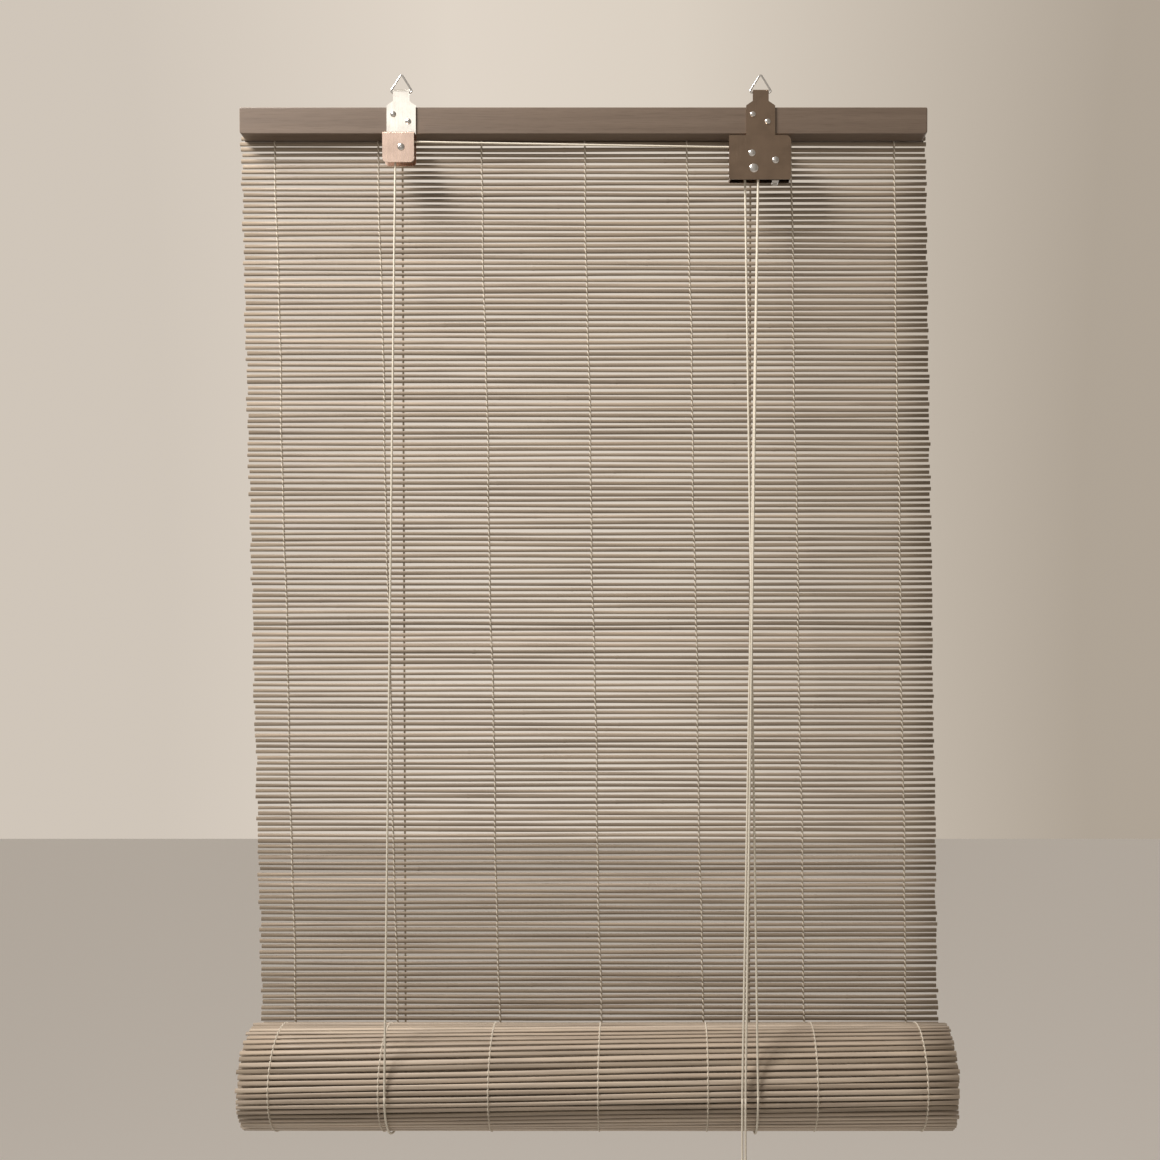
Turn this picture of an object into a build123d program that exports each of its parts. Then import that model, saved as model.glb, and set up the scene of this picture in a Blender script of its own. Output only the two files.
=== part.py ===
"""Bamboo roll-up blind, 60 x 180 cm, hung from two wire rings and held half raised by its cord lock.

Millimetres. The origin is on the headrail's back face, +Z is up and the front faces -Y.
The sheet hangs from the headrail, and its lower part is rolled up towards the room in two cord loops.
"""

from build123d import *
from math import atan2, cos, degrees, pi, radians, sqrt, tan
import os

os.makedirs("parts", exist_ok=True)

# Sheet of slats
blind_width = 602.0
slat_pitch = 5.0
slat_height = 3.6
slat_thickness = 2.4
slat_edge_radius = 0.6
clamped_slats = 5
hanging_slat_count = 163
sheet_drift = 15.0  # how far the sheet's lower end stands to the right of the headrail
thread_count = 7
thread_edge_margin = 27.0
thread_width = 1.4
thread_depth = 0.7

# Roll
half_turns = 9
turn_pitch = 5.0
outer_turn_radius = 44.2  # of the middle of the sheet in the first half turn
bottom_rail_height = 12.0
bottom_rail_thickness = 6.0
bottom_rail_edge_radius = 1.5
bottom_rail_clearance = 0.4

# Headrail
headrail_top = 15.0
batten_thickness = 6.0
lath_thickness = 13.6
underside_rise = 1.7  # from the sheet to the headrail's front
headrail_lower_end_radius = 3.0
headrail_upper_end_radius = 1.5
headrail_edge_radius = 1.0
slats_above_nails = 3  # the nails pass between two slats
nail_spacing = 125.0
nail_count = 5
nail_radius = 0.55
nail_head_radius = 1.6
nail_head_height = 0.8
nail_length = 16.0

# Hanger straps, their eyes and the wire rings
sheet_metal = 1.2
left_strap_x = -159.2
right_strap_x = 154.9
strap_width = 25.4
strap_shoulder_z = 16.0
strap_neck_width = 14.0
strap_neck_z = 20.0
strap_lower_end = -20.5
strap_corner_radius = 2.0
ring_wire_radius = 0.9
ring_axis_z = 28.0
ring_base_width = 20.0
ring_height = 16.0
ring_corner_radius = 1.3
ring_clearance = 0.25
rivet_offsets = ((-6.8, 8.4), (6.2, 2.1))
rivet_radius = 1.2
rivet_head_radius = 2.6
rivet_head_height = 1.5
head_taper = 30.0  # degrees that the sides of every rivet and axle head lean in
rivet_length = 8.0

# Pulleys, their hoods and the cord lock
cord_radius = 0.9
pulley_cord_radius = 5.6  # of the cord's middle round a pulley
pulley_rim_radius = 7.4
pulley_thickness = 4.8
pulley_side_clearance = 0.25
axle_radius = 1.5
axle_clearance = 0.1
axle_head_radius = 3.1
axle_head_height = 1.5
left_axle = (-157.0, -24.0)
right_axle = (146.4, -29.2)
guide_pin = (148.1, -42.2)
cam_axle = (166.8, -35.3)
lock_corner_radius = 5.0
lock_small_radius = 1.4
left_hood_x = -159.5
left_hood_width = 27.3
left_hood_top = -10.5
left_hood_bottom = -37.0
lock_left = 126.5
lock_right = 180.2
lock_top = -14.0
lock_bottom = -51.8
hood_corner_radius = 3.5
hood_bend_radius = 1.8
cord_hole_radius = 2.5
cam_width = 8.8
cam_boss_radius = 4.4
cam_clearance = 0.2
cam_nose_start = 186.0  # degrees round the cam's axle
cam_nose_end = 206.0
cam_lever_end = -54.4
cam_lever_width = 6.0
guide_pin_clearance = 0.1
bush_radius = 2.6
rear_head_radius = 2.6
rear_head_height = 1.0
groove_half_width = 1.2
rim_half_width = 1.8
groove_clearance = 0.3

# Cords
loop_clearance = 0.3
tail_stand_off = 2.6  # how far the pull cords hang clear of the roll's front
strand_gap = 0.9
left_cord_x = -161.7
right_cord_x = 147.5
pull_cord_x = 135.6
knot_radius = 1.9
lock_exit_z = -49.0
lock_exit_y = -30.6  # of the rear pull cord, and the front one is a strand further forward
straight_below_pulley = 6.0
run_share_of_bend = 0.45  # of the shorter run at a corner, taken up by the cord's arc there
roll_bend_share = 0.9  # of the roll's own radius, where a cord comes down onto it

# Coil of the pull cords, its tie and the tassel
coil_gap_below_roll = 14.0
coil_turn_radius = 10.5  # of the middle of the bundle
coil_layers = 5
coil_columns = 8
tie_width = 5.0
tie_thickness = 1.0
tie_clearance = 0.3
tassel_height = 28.0
tassel_radius = 6.5
tassel_neck_radius = 3.0

# Places worked out from the sizes above
sheet_back = -batten_thickness
sheet_middle = sheet_back - slat_thickness / 2
sheet_front = sheet_back - slat_thickness
headrail_height = clamped_slats * slat_pitch
headrail_bottom = headrail_top - headrail_height
headrail_middle = (headrail_top + headrail_bottom) / 2
nail_z = headrail_top - slats_above_nails * slat_pitch
nail_places = [((n - (nail_count - 1) / 2) * nail_spacing, nail_z) for n in range(nail_count)]
headrail_front = sheet_front - lath_thickness
strap_front = headrail_front - sheet_metal
roll_z = headrail_bottom - hanging_slat_count * slat_pitch
roll_y = sheet_middle - outer_turn_radius
roll_reach = outer_turn_radius + slat_thickness / 2 + thread_depth
loop_radius = roll_reach + loop_clearance + cord_radius
thread_spacing = (blind_width - 2 * thread_edge_margin) / (thread_count - 1)
thread_places = [(n - (thread_count - 1) / 2) * thread_spacing for n in range(thread_count)]
hood_gap = 2 * pulley_thickness + 3 * pulley_side_clearance
hood_back = strap_front
hood_inside_back = hood_back - sheet_metal
hood_inside_front = hood_inside_back - hood_gap
hood_front = hood_inside_front - sheet_metal
rear_pulley_y = hood_inside_back - pulley_side_clearance - pulley_thickness / 2
front_pulley_y = rear_pulley_y - pulley_side_clearance - pulley_thickness
pulley_bore_radius = axle_radius + axle_clearance
lock_centre = (lock_left + lock_right) / 2
lock_width = lock_right - lock_left
pull_cord_plane = right_axle[0] + pulley_cord_radius
strand_pitch = 2 * cord_radius + strand_gap


def save(part, label):
    """Writes one finished piece as its own STEP file."""
    part.label = label
    export_step(part, f"parts/{label}.step")


def drift_at(z):
    """How far the sheet stands to the right at a height."""
    return sheet_drift * max(0.0, headrail_bottom - z) / (headrail_bottom - roll_z)


# ---------------------------------------------------------------- headrail
with BuildPart() as headrail:
    with BuildSketch(Plane.YZ.offset(-blind_width / 2)):
        with BuildLine():
            Polyline(
                (headrail_front, headrail_top),
                (sheet_front, headrail_top),
                (sheet_front, headrail_bottom),
                (headrail_front, headrail_bottom + underside_rise),
                close=True,
            )
        make_face()
    extrude(amount=blind_width)
    upper_ends = headrail.edges().filter_by(Axis.Y)
    lower_ends = [end.edges().sort_by(Axis.Z)[0] for end in headrail.faces().filter_by(Axis.X)]
    fillet(lower_ends, headrail_lower_end_radius)
    fillet(upper_ends, headrail_upper_end_radius)
    front_edges = headrail.edges().filter_by(Axis.X).group_by(Axis.Y)[0]
    fillet(front_edges, headrail_edge_radius)
    with BuildSketch(Plane.XZ.offset(-headrail_front)):
        for strap_x in (left_strap_x, right_strap_x):
            with Locations(*[(strap_x + dx, z) for dx, z in rivet_offsets]):
                Circle(rivet_radius)
    extrude(amount=-(rivet_length - sheet_metal), mode=Mode.SUBTRACT)
    with BuildSketch(Plane.XZ.offset(-sheet_front)):
        with Locations(*nail_places):
            Circle(nail_radius)
    extrude(amount=nail_length + sheet_front, mode=Mode.SUBTRACT)
save(headrail.part, "headrail")

with BuildPart() as back_batten:
    with BuildSketch(Plane.XZ):
        with Locations((0, headrail_middle)):
            Rectangle(blind_width, headrail_height)
    extrude(amount=batten_thickness)
    with BuildSketch(Plane.XZ):
        with Locations(*nail_places):
            Circle(nail_radius)
    extrude(amount=batten_thickness, mode=Mode.SUBTRACT)
    with BuildSketch(Plane.XZ):
        with Locations(*nail_places):
            Circle(nail_head_radius)
    extrude(amount=nail_head_height, mode=Mode.SUBTRACT)
save(back_batten.part, "back_batten")

with BuildPart() as headrail_nails:
    with BuildSketch(Plane.XZ):
        with Locations(*nail_places):
            Circle(nail_radius)
    extrude(amount=nail_length)
    with BuildSketch(Plane.XZ):
        with Locations(*nail_places):
            Circle(nail_head_radius)
    extrude(amount=nail_head_height)
save(headrail_nails.part, "headrail_nails")

# ---------------------------------------------------------------- hanging sheet
slat_heights = [headrail_top - slat_pitch * (n + 0.5) for n in range(clamped_slats + hanging_slat_count)]
with BuildPart() as hanging_slats:
    with Locations(*[(drift_at(z), sheet_middle, z) for z in slat_heights]):
        Box(blind_width, slat_thickness, slat_height)
    fillet(hanging_slats.edges().filter_by(Axis.X), slat_edge_radius)
save(hanging_slats.part, "hanging_slats")

for number, thread_x in enumerate(thread_places, 1):
    with BuildPart() as hanging_thread:
        for face_y in (sheet_back + thread_depth, sheet_front):
            with BuildSketch(Plane.XZ.offset(-face_y)):
                with BuildLine():
                    Polyline(
                        (thread_x - thread_width / 2, headrail_bottom),
                        (thread_x + thread_width / 2, headrail_bottom),
                        (thread_x + sheet_drift + thread_width / 2, roll_z),
                        (thread_x + sheet_drift - thread_width / 2, roll_z),
                        close=True,
                    )
                make_face()
            extrude(amount=thread_depth)
    save(hanging_thread.part, f"hanging_thread_{number}")


# ---------------------------------------------------------------- rolled sheet
def rolled_band(inner_offset, outer_offset):
    """The outline of a band that follows the spiral, between two offsets from the sheet's middle.

    Each half turn is an arc. The lower arcs share the roll's centre, and the upper ones a centre half a
    pitch forward of it, so that they join smoothly.
    """
    ends = []
    for offset in (inner_offset, outer_offset):
        for half in range(half_turns):
            radius = outer_turn_radius - half * turn_pitch / 2 + offset
            centre_y = roll_y - (half % 2) * turn_pitch / 2
            arc = CenterArc((centre_y, roll_z), radius, -180 * half, -180)
            if half in (0, half_turns - 1):
                ends.append(arc @ (0 if half == 0 else 1))
    Line(ends[0], ends[2])
    Line(ends[1], ends[3])


with BuildPart() as rolled_slats:
    with BuildSketch(Plane.YZ.offset(sheet_drift - blind_width / 2)):
        with BuildLine():
            rolled_band(-slat_thickness / 2, slat_thickness / 2)
        make_face()
    extrude(amount=blind_width)
save(rolled_slats.part, "rolled_slats")

for number, thread_x in enumerate(thread_places, 1):
    with BuildPart() as rolled_thread:
        with BuildSketch(Plane.YZ.offset(thread_x + sheet_drift - thread_width / 2)):
            with BuildLine():
                rolled_band(slat_thickness / 2, slat_thickness / 2 + thread_depth)
            make_face()
        extrude(amount=thread_width)
    save(rolled_thread.part, f"rolled_thread_{number}")

# The rail is stitched to the sheet's inner end, and its outer face clears the turn outside it.
last_radius = outer_turn_radius - (half_turns - 1) * turn_pitch / 2
turn_outside = last_radius + turn_pitch / 2 - slat_thickness / 2
rail_corner = sqrt(turn_outside**2 - bottom_rail_height**2) + turn_pitch / 2
rail_outer_y = roll_y - rail_corner + bottom_rail_clearance
with BuildPart() as bottom_rail:
    with BuildSketch(Plane.YZ.offset(sheet_drift - blind_width / 2)):
        with Locations((rail_outer_y + bottom_rail_thickness / 2, roll_z + bottom_rail_height / 2)):
            Rectangle(bottom_rail_thickness, bottom_rail_height)
    extrude(amount=blind_width)
    inner_edges = bottom_rail.edges().filter_by(Axis.X).group_by(Axis.Y)[-1]
    fillet(inner_edges, bottom_rail_edge_radius)
save(bottom_rail.part, "bottom_rail")

# ---------------------------------------------------------------- hanger straps and rings
eye_inner_radius = ring_wire_radius + ring_clearance
eye_outer_radius = eye_inner_radius + sheet_metal
ring_axis_y = strap_front + eye_outer_radius
for side, strap_x in (("left", left_strap_x), ("right", right_strap_x)):
    with BuildPart() as hanger_strap:
        with BuildSketch(Plane.XZ.offset(-headrail_front)) as strap_outline:
            with BuildLine():
                Polyline(
                    (strap_x - strap_width / 2, strap_lower_end),
                    (strap_x + strap_width / 2, strap_lower_end),
                    (strap_x + strap_width / 2, strap_shoulder_z),
                    (strap_x + strap_neck_width / 2, strap_neck_z),
                    (strap_x + strap_neck_width / 2, ring_axis_z),
                    (strap_x - strap_neck_width / 2, ring_axis_z),
                    (strap_x - strap_neck_width / 2, strap_neck_z),
                    (strap_x - strap_width / 2, strap_shoulder_z),
                    close=True,
                )
            make_face()
            fillet(strap_outline.vertices().group_by(Axis.Y)[0], strap_corner_radius)
            with Locations(*[(strap_x + dx, z) for dx, z in rivet_offsets]):
                Circle(rivet_radius, mode=Mode.SUBTRACT)
        extrude(amount=sheet_metal)
        with BuildSketch(Plane.YZ.offset(strap_x - strap_neck_width / 2)):
            with Locations((ring_axis_y, ring_axis_z)):
                Circle(eye_outer_radius)
        extrude(amount=strap_neck_width)
        with BuildSketch(Plane.YZ.offset(strap_x - strap_neck_width / 2)):
            with Locations((ring_axis_y, ring_axis_z)):
                Circle(eye_inner_radius)
        extrude(amount=strap_neck_width, mode=Mode.SUBTRACT)
    save(hanger_strap.part, f"hanger_strap_{side}")

    with BuildPart() as wire_ring:
        with BuildLine(Plane.XZ.offset(-ring_axis_y)) as ring_path:
            FilletPolyline(
                (strap_x - ring_base_width / 2, ring_axis_z),
                (strap_x, ring_axis_z + ring_height),
                (strap_x + ring_base_width / 2, ring_axis_z),
                radius=ring_corner_radius,
                close=True,
            )
        with BuildSketch(Plane(origin=ring_path.line @ 0, z_dir=ring_path.line % 0)):
            Circle(ring_wire_radius)
        sweep()
    save(wire_ring.part, f"wire_ring_{side}")

with BuildPart() as strap_rivets:
    rivet_places = [
        (strap_x + dx, z) for strap_x in (left_strap_x, right_strap_x) for dx, z in rivet_offsets
    ]
    with BuildSketch(Plane.XZ.offset(-strap_front)):
        with Locations(*rivet_places):
            Circle(rivet_radius)
    extrude(amount=-rivet_length)
    with BuildSketch(Plane.XZ.offset(-strap_front)):
        with Locations(*rivet_places):
            Circle(rivet_head_radius)
    extrude(amount=rivet_head_height, taper=head_taper)
save(strap_rivets.part, "strap_rivets")

# ---------------------------------------------------------------- pulley hoods and cord lock
hood_depth = hood_back - hood_front
with BuildPart() as pulley_hood:
    with BuildSketch(Plane.YZ.offset(left_hood_x - left_hood_width / 2)):
        with Locations(((hood_back + hood_front) / 2, (left_hood_top + left_hood_bottom) / 2)):
            Rectangle(hood_depth, left_hood_top - left_hood_bottom)
        with Locations(((hood_back + hood_front) / 2, left_hood_bottom - sheet_metal)):
            gap_height = left_hood_top - left_hood_bottom
            Rectangle(hood_gap, gap_height, align=(Align.CENTER, Align.MIN), mode=Mode.SUBTRACT)
    extrude(amount=left_hood_width)
    bend = pulley_hood.edges().filter_by(Axis.X).group_by(Axis.Z)[-1].sort_by(Axis.Y)[0]
    fillet(bend, hood_bend_radius)
    leg_corners = pulley_hood.edges().filter_by(Axis.Y).group_by(Axis.Z)[0]
    fillet(leg_corners, hood_corner_radius)
    with BuildSketch(Plane.XZ.offset(-hood_back)):
        with Locations(left_axle):
            Circle(axle_radius)
    extrude(amount=hood_depth, mode=Mode.SUBTRACT)
save(pulley_hood.part, "pulley_hood")

guide_pin_radius = pull_cord_plane - cord_radius - guide_pin_clearance - guide_pin[0]
run_slope = atan2(right_axle[1] - left_axle[1], right_axle[0] - left_axle[0])
run_top_angle = 90 + degrees(run_slope)
run_z_at_lock = (
    left_axle[1]
    + pulley_cord_radius / cos(run_slope)
    + (lock_left - left_axle[0]) * tan(run_slope)
)
with BuildPart() as lock_housing:
    with BuildSketch(Plane.XZ.offset(-hood_back)) as lock_outline:
        with Locations((lock_centre, (lock_top + lock_bottom) / 2)):
            Rectangle(lock_width, lock_top - lock_bottom)
        top_right = lock_outline.vertices().group_by(Axis.Y)[-1].sort_by(Axis.X)[-1]
        fillet(top_right, lock_corner_radius)
        fillet(lock_outline.vertices().group_by(Axis.Y)[0], lock_small_radius)
    extrude(amount=hood_depth)
    with BuildSketch(Plane.XZ.offset(-hood_inside_back)) as lock_inside:
        with Locations((lock_centre, lock_top - sheet_metal)):
            Rectangle(
                lock_width - 2 * sheet_metal,
                lock_top - lock_bottom,
                align=(Align.CENTER, Align.MAX),
            )
        top_right = lock_inside.vertices().group_by(Axis.Y)[-1].sort_by(Axis.X)[-1]
        fillet(top_right, lock_corner_radius - sheet_metal)
    extrude(amount=hood_gap, mode=Mode.SUBTRACT)
    with BuildSketch(Plane.XZ.offset(-hood_back)):
        with Locations(right_axle, cam_axle):
            Circle(axle_radius)
        with Locations(guide_pin):
            Circle(guide_pin_radius)
    extrude(amount=hood_depth, mode=Mode.SUBTRACT)
    with BuildSketch(Plane.YZ.offset(lock_left)):
        with Locations((front_pulley_y, run_z_at_lock)):
            Circle(cord_hole_radius)
    extrude(amount=sheet_metal, mode=Mode.SUBTRACT)
save(lock_housing.part, "lock_housing")


def riveted_pin(place, radius, bush=0.0):
    """A pin through both walls of a hood, domed in front and flat behind, with an optional bush."""
    with BuildPart() as pin:
        with BuildSketch(Plane.XZ.offset(-hood_back)):
            with Locations(place):
                Circle(radius)
        extrude(amount=hood_depth)
        with BuildSketch(Plane.XZ.offset(-hood_front)):
            with Locations(place):
                Circle(max(axle_head_radius, radius + rear_head_height))
        extrude(amount=axle_head_height, taper=head_taper)
        with BuildSketch(Plane.XZ.offset(-hood_back)):
            with Locations(place):
                Circle(max(rear_head_radius, radius + rear_head_height))
        extrude(amount=-rear_head_height)
        if bush:
            with BuildSketch(Plane.XZ.offset(-hood_inside_back)):
                with Locations(place):
                    Circle(bush_radius)
            extrude(amount=bush)
    return pin.part


left_bush = pulley_thickness + pulley_side_clearance
save(riveted_pin(left_axle, axle_radius, left_bush), "pulley_axle_left")
save(riveted_pin(right_axle, axle_radius), "pulley_axle_right")
save(riveted_pin(guide_pin, guide_pin_radius), "guide_pin")
save(riveted_pin(cam_axle, axle_radius), "cam_axle")


def pulley(place, middle_y):
    """A grooved wheel on an axle that lies along Y."""
    half = pulley_thickness / 2
    groove_radius = pulley_cord_radius - cord_radius - groove_clearance
    section = Plane(origin=(place[0], middle_y, place[1]), x_dir=(0, 1, 0), z_dir=(1, 0, 0))
    with BuildPart() as wheel:
        with BuildSketch(section):
            with BuildLine():
                Polyline(
                    (-half, pulley_bore_radius),
                    (half, pulley_bore_radius),
                    (half, pulley_rim_radius),
                    (rim_half_width, pulley_rim_radius),
                    (groove_half_width, groove_radius),
                    (-groove_half_width, groove_radius),
                    (-rim_half_width, pulley_rim_radius),
                    (-half, pulley_rim_radius),
                    close=True,
                )
            make_face()
        revolve(axis=Axis((place[0], middle_y, place[1]), (0, 1, 0)))
    return wheel.part


save(pulley(left_axle, front_pulley_y), "pulley_left")
save(pulley(right_axle, rear_pulley_y), "pulley_right_rear")
save(pulley(right_axle, front_pulley_y), "pulley_right_front")

# The cam's nose is an arc about its own axle that stops just short of the cords.
hood_middle_y = (hood_inside_back + hood_inside_front) / 2
nose_reach = cam_axle[0] - pull_cord_plane - cord_radius - cam_clearance
nose_radius = nose_reach / cos(radians(cam_nose_start - 180))
cam_x, cam_z = cam_axle
with BuildPart() as lock_cam:
    with BuildSketch(Plane.XZ.offset(-hood_middle_y - cam_width / 2)) as cam_outline:
        with Locations(cam_axle):
            Circle(cam_boss_radius)
        with BuildLine():
            nose = CenterArc(cam_axle, nose_radius, cam_nose_start, cam_nose_end - cam_nose_start)
            Polyline(nose @ 1, (cam_x, cam_z - cam_boss_radius), (cam_x, cam_z + cam_boss_radius), nose @ 0)
        make_face()
        with Locations((cam_x, cam_lever_end)):
            Rectangle(cam_lever_width, cam_z - cam_lever_end, align=(Align.CENTER, Align.MIN))
        fillet(cam_outline.vertices().group_by(Axis.Y)[0], cam_lever_width / 3)
        with Locations(cam_axle):
            Circle(axle_radius + axle_clearance, mode=Mode.SUBTRACT)
    extrude(amount=cam_width)
save(lock_cam.part, "lock_cam")


# ---------------------------------------------------------------- lift cords
def cord_tube(points, radii, label):
    """A cord along straight runs and tangent arcs, which prints its arcs and checks its volume."""
    with BuildPart() as cord:
        with BuildLine() as route:
            FilletPolyline(*points, radius=radii)
        with BuildSketch(Plane(origin=route.line @ 0, z_dir=route.line % 0)):
            Circle(cord_radius)
        sweep()
    length = route.wire().length
    share = cord.part.volume / (pi * cord_radius**2 * length)
    arcs = [round(r, 1) for r in radii]
    print(f"{label}: {length:.1f} mm, arc radii {arcs}, volume {share:.4f} of the section's")
    save(cord.part, label)


def bend_radius(before, corner, after):
    """The largest arc that a corner's two runs allow."""
    into = Vector(*corner) - Vector(*before)
    out = Vector(*after) - Vector(*corner)
    return run_share_of_bend * min(into.length, out.length) / tan(radians(into.get_angle(out)) / 2)


def draped_route(points, end_x, radius):
    """A route that goes on from its points in a straight line to the roll's front, and ends hanging there."""
    last = Vector(*points[-1])
    touch = Vector(end_x, roll_y - radius, roll_z)
    turn = radians((touch - last).get_angle(Vector(0, 0, -1)))
    corner = (end_x, roll_y - radius, roll_z + radius * tan(turn / 2))
    route = [*points, corner, tuple(touch)]
    radii = [bend_radius(*route[n - 1 : n + 2]) for n in range(1, len(points))]
    return route, [*radii, roll_bend_share * radius]


with BuildPart() as lift_cord_left_run:
    with BuildLine(Plane.XZ.offset(-front_pulley_y)) as left_run_path:
        over_left = CenterArc(left_axle, pulley_cord_radius, 180, run_top_angle - 180)
        over_right = CenterArc(right_axle, pulley_cord_radius, run_top_angle, -run_top_angle)
        Line(over_left @ 1, over_right @ 0)
    with BuildSketch(Plane(origin=left_run_path.line @ 0, z_dir=left_run_path.line % 0)):
        Circle(cord_radius)
    sweep()
save(lift_cord_left_run.part, "lift_cord_left_run")

with BuildPart() as lift_cord_right_run:
    with BuildLine(Plane.XZ.offset(-rear_pulley_y)) as right_run_path:
        CenterArc(right_axle, pulley_cord_radius, 180, -180)
    with BuildSketch(Plane(origin=right_run_path.line @ 0, z_dir=right_run_path.line % 0)):
        Circle(cord_radius)
    sweep()
save(lift_cord_right_run.part, "lift_cord_right_run")

knot_z = headrail_bottom - knot_radius
back_run_y = roll_y + loop_radius
for side, axle, pulley_y, cord_x in (
    ("left", left_axle, front_pulley_y, left_cord_x),
    ("right", right_axle, rear_pulley_y, right_cord_x),
):
    off_pulley_x = axle[0] - pulley_cord_radius
    below_pulley = [
        (off_pulley_x, pulley_y, axle[1]),
        (off_pulley_x, pulley_y, axle[1] - straight_below_pulley),
    ]
    cord_tube(*draped_route(below_pulley, cord_x, loop_radius), f"lift_cord_{side}_front")

    with BuildPart() as cord_loop:
        with BuildLine(Plane.YZ.offset(cord_x)) as loop_path:
            CenterArc((roll_y, roll_z), loop_radius, 180, 180)
        with BuildSketch(Plane(origin=loop_path.line @ 0, z_dir=loop_path.line % 0)):
            Circle(cord_radius)
        sweep()
    save(cord_loop.part, f"lift_cord_{side}_loop")

    with BuildPart() as cord_back:
        with BuildSketch(Plane.XY.offset(roll_z)):
            with Locations((cord_x, back_run_y)):
                Circle(cord_radius)
        extrude(amount=knot_z - roll_z)
    save(cord_back.part, f"lift_cord_{side}_back")

with BuildPart() as cord_knots:
    with Locations((left_cord_x, back_run_y, knot_z), (right_cord_x, back_run_y, knot_z)):
        Sphere(knot_radius)
save(cord_knots.part, "cord_knots")

# ---------------------------------------------------------------- pull cords, coil and tassel
tail_radius = roll_reach + tail_stand_off + cord_radius
tail_y = roll_y - tail_radius
coil_inner_radius = coil_turn_radius - coil_layers * cord_radius
coil_outer_radius = coil_turn_radius + coil_layers * cord_radius
coil_width = coil_columns * 2 * cord_radius
coil_z = roll_z - roll_reach - coil_gap_below_roll - coil_outer_radius
tie_top = coil_z + coil_outer_radius + tie_clearance + tie_thickness
for strand, pulley_y, exit_y, shift in (
    ("rear", rear_pulley_y, lock_exit_y, -strand_pitch / 2),
    ("front", front_pulley_y, lock_exit_y - strand_pitch, strand_pitch / 2),
):
    strand_x = pull_cord_x + shift
    through_lock = [
        (pull_cord_plane, pulley_y, right_axle[1]),
        (pull_cord_plane, pulley_y, right_axle[1] - straight_below_pulley),
        (pull_cord_plane, exit_y, lock_exit_z),
    ]
    cord_tube(*draped_route(through_lock, strand_x, tail_radius), f"pull_cord_{strand}_upper")

    with BuildPart() as hanging_strand:
        with BuildSketch(Plane.XY.offset(tie_top)):
            with Locations((strand_x, tail_y)):
                Circle(cord_radius)
        extrude(amount=roll_z - tie_top)
    save(hanging_strand.part, f"pull_cord_{strand}_lower")

with BuildPart() as pull_cord_coil:
    with BuildSketch(Plane.XZ.offset(-tail_y - coil_width / 2)):
        with Locations((pull_cord_x, coil_z)):
            Circle(coil_outer_radius)
            Circle(coil_inner_radius, mode=Mode.SUBTRACT)
    extrude(amount=coil_width)
save(pull_cord_coil.part, "pull_cord_coil")

tie_foot = coil_z + sqrt(coil_inner_radius**2 - (tie_width / 2) ** 2) - tie_clearance - tie_thickness
with BuildPart() as coil_tie:
    with BuildSketch(Plane.YZ.offset(pull_cord_x - tie_width / 2)) as tie_section:
        with Locations((tail_y, (tie_top + tie_foot) / 2)):
            Rectangle(coil_width + 2 * (tie_clearance + tie_thickness), tie_top - tie_foot)
        offset(amount=-tie_thickness, mode=Mode.SUBTRACT)
    extrude(amount=tie_width)
save(coil_tie.part, "coil_tie")

with BuildPart() as tassel:
    with BuildSketch(Plane.XZ.offset(-tail_y)):
        with BuildLine():
            top = coil_z - coil_outer_radius
            shoulder = top - tassel_height / 2
            Polyline(
                (pull_cord_x, top - tassel_height),
                (pull_cord_x, top),
                (pull_cord_x + tassel_neck_radius, top),
                (pull_cord_x + tassel_radius, shoulder),
                (pull_cord_x + tassel_radius, shoulder - tassel_height / 4),
                (pull_cord_x + tassel_neck_radius, top - tassel_height),
                close=True,
            )
        make_face()
    revolve(axis=Axis((pull_cord_x, tail_y, 0), (0, 0, 1)))
save(tassel.part, "tassel")
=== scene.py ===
"""Looks of the bamboo roll-up blind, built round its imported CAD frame. Metres, front towards -Y."""

import math

import bpy
import numpy as np
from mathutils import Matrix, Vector


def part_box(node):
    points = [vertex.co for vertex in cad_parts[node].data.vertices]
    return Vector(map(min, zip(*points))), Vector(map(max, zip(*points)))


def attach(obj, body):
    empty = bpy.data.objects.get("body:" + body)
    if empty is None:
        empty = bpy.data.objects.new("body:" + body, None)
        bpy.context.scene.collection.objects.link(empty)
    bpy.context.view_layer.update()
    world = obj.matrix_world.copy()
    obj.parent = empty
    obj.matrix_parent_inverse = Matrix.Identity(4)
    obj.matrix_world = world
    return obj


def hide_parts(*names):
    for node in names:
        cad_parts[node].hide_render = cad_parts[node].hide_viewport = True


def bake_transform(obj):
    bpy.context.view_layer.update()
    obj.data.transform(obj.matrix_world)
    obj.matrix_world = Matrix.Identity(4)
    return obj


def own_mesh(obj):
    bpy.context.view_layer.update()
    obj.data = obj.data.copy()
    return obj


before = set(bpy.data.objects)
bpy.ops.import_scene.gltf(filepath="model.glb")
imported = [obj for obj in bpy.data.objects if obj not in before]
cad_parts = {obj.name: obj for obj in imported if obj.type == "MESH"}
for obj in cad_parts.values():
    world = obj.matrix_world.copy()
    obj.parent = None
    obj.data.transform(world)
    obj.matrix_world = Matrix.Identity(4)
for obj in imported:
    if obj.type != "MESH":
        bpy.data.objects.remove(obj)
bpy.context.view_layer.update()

MM = 0.001

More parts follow.
